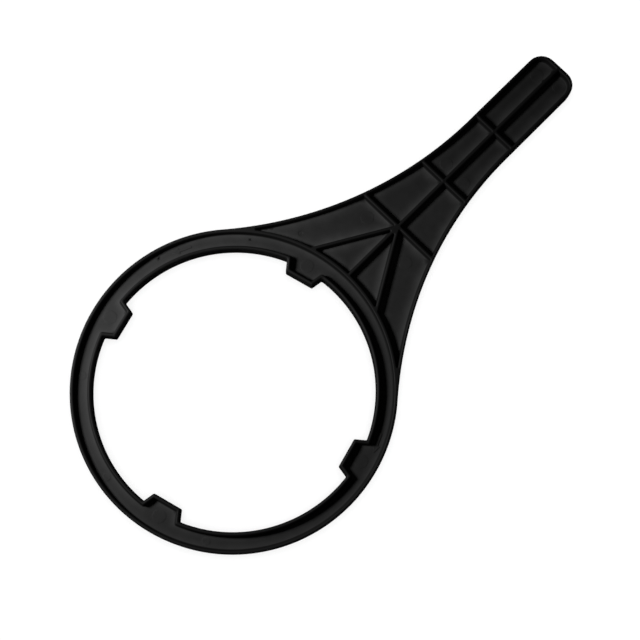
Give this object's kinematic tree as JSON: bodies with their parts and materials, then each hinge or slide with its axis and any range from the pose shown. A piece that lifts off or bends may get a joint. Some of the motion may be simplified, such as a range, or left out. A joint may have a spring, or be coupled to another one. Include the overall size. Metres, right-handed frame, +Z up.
{
  "type": "water filter housing wrench",
  "caption": "Flat black plastic ring wrench with inward drive lugs and a ribbed, tapering handle, for turning the round bowl of a water filter housing.",
  "frame": {"origin": "middle of the bounding box, on the plane the wrench lies on; the ring's centre is at x = -0.08405", "axes": "+X from the ring to the end of the handle, +Z up through the thickness, +Y to the left of the handle"},
  "size_m": [0.342, 0.174, 0.0095],
  "materials": {
    "ring_outer_rim": "satin black, fine moulded texture",
    "ring_channel_web": "satin black, fine moulded texture",
    "drive_lug_1": "satin black, fine moulded texture",
    "drive_lug_2": "satin black, fine moulded texture",
    "drive_lug_3": "satin black, fine moulded texture",
    "drive_lug_4": "satin black, fine moulded texture",
    "bore_lip_1": "satin black, fine moulded texture",
    "bore_lip_2": "satin black, fine moulded texture",
    "bore_lip_3": "satin black, fine moulded texture",
    "bore_lip_4": "satin black, fine moulded texture",
    "handle_wall_left": "satin black, fine moulded texture",
    "handle_wall_right": "satin black, fine moulded texture",
    "grip_end_wall": "satin black, fine moulded texture",
    "centre_rib": "satin black, fine moulded texture",
    "grip_cross_rib_left": "satin black, fine moulded texture",
    "grip_cross_rib_right": "satin black, fine moulded texture",
    "middle_cross_rib_left": "satin black, fine moulded texture",
    "middle_cross_rib_right": "satin black, fine moulded texture",
    "throat_cross_rib_left": "satin black, fine moulded texture",
    "throat_cross_rib_right": "satin black, fine moulded texture",
    "diagonal_rib_left": "satin black, fine moulded texture",
    "diagonal_rib_right": "satin black, fine moulded texture",
    "grip_web_left": "satin black, fine moulded texture",
    "grip_web_right": "satin black, fine moulded texture",
    "middle_web_left": "satin black, fine moulded texture",
    "middle_web_right": "satin black, fine moulded texture",
    "throat_web_left": "satin black, fine moulded texture",
    "throat_web_right": "satin black, fine moulded texture",
    "shoulder_web_left": "satin black, fine moulded texture",
    "shoulder_web_right": "satin black, fine moulded texture",
    "root_web_left": "satin black, fine moulded texture",
    "root_web_right": "satin black, fine moulded texture"
  },
  "bodies": {
    "root": {"ring_outer_rim": "ring_outer_rim", "ring_channel_web": "ring_channel_web", "drive_lug_1": "drive_lug_1", "drive_lug_2": "drive_lug_2", "drive_lug_3": "drive_lug_3", "drive_lug_4": "drive_lug_4", "bore_lip_1": "bore_lip_1", "bore_lip_2": "bore_lip_2", "bore_lip_3": "bore_lip_3", "bore_lip_4": "bore_lip_4", "handle_wall_left": "handle_wall_left", "handle_wall_right": "handle_wall_right", "grip_end_wall": "grip_end_wall", "centre_rib": "centre_rib", "grip_cross_rib_left": "grip_cross_rib_left", "grip_cross_rib_right": "grip_cross_rib_right", "middle_cross_rib_left": "middle_cross_rib_left", "middle_cross_rib_right": "middle_cross_rib_right", "throat_cross_rib_left": "throat_cross_rib_left", "throat_cross_rib_right": "throat_cross_rib_right", "diagonal_rib_left": "diagonal_rib_left", "diagonal_rib_right": "diagonal_rib_right", "grip_web_left": "grip_web_left", "grip_web_right": "grip_web_right", "middle_web_left": "middle_web_left", "middle_web_right": "middle_web_right", "throat_web_left": "throat_web_left", "throat_web_right": "throat_web_right", "shoulder_web_left": "shoulder_web_left", "shoulder_web_right": "shoulder_web_right", "root_web_left": "root_web_left", "root_web_right": "root_web_right"}
  },
  "joints": []
}
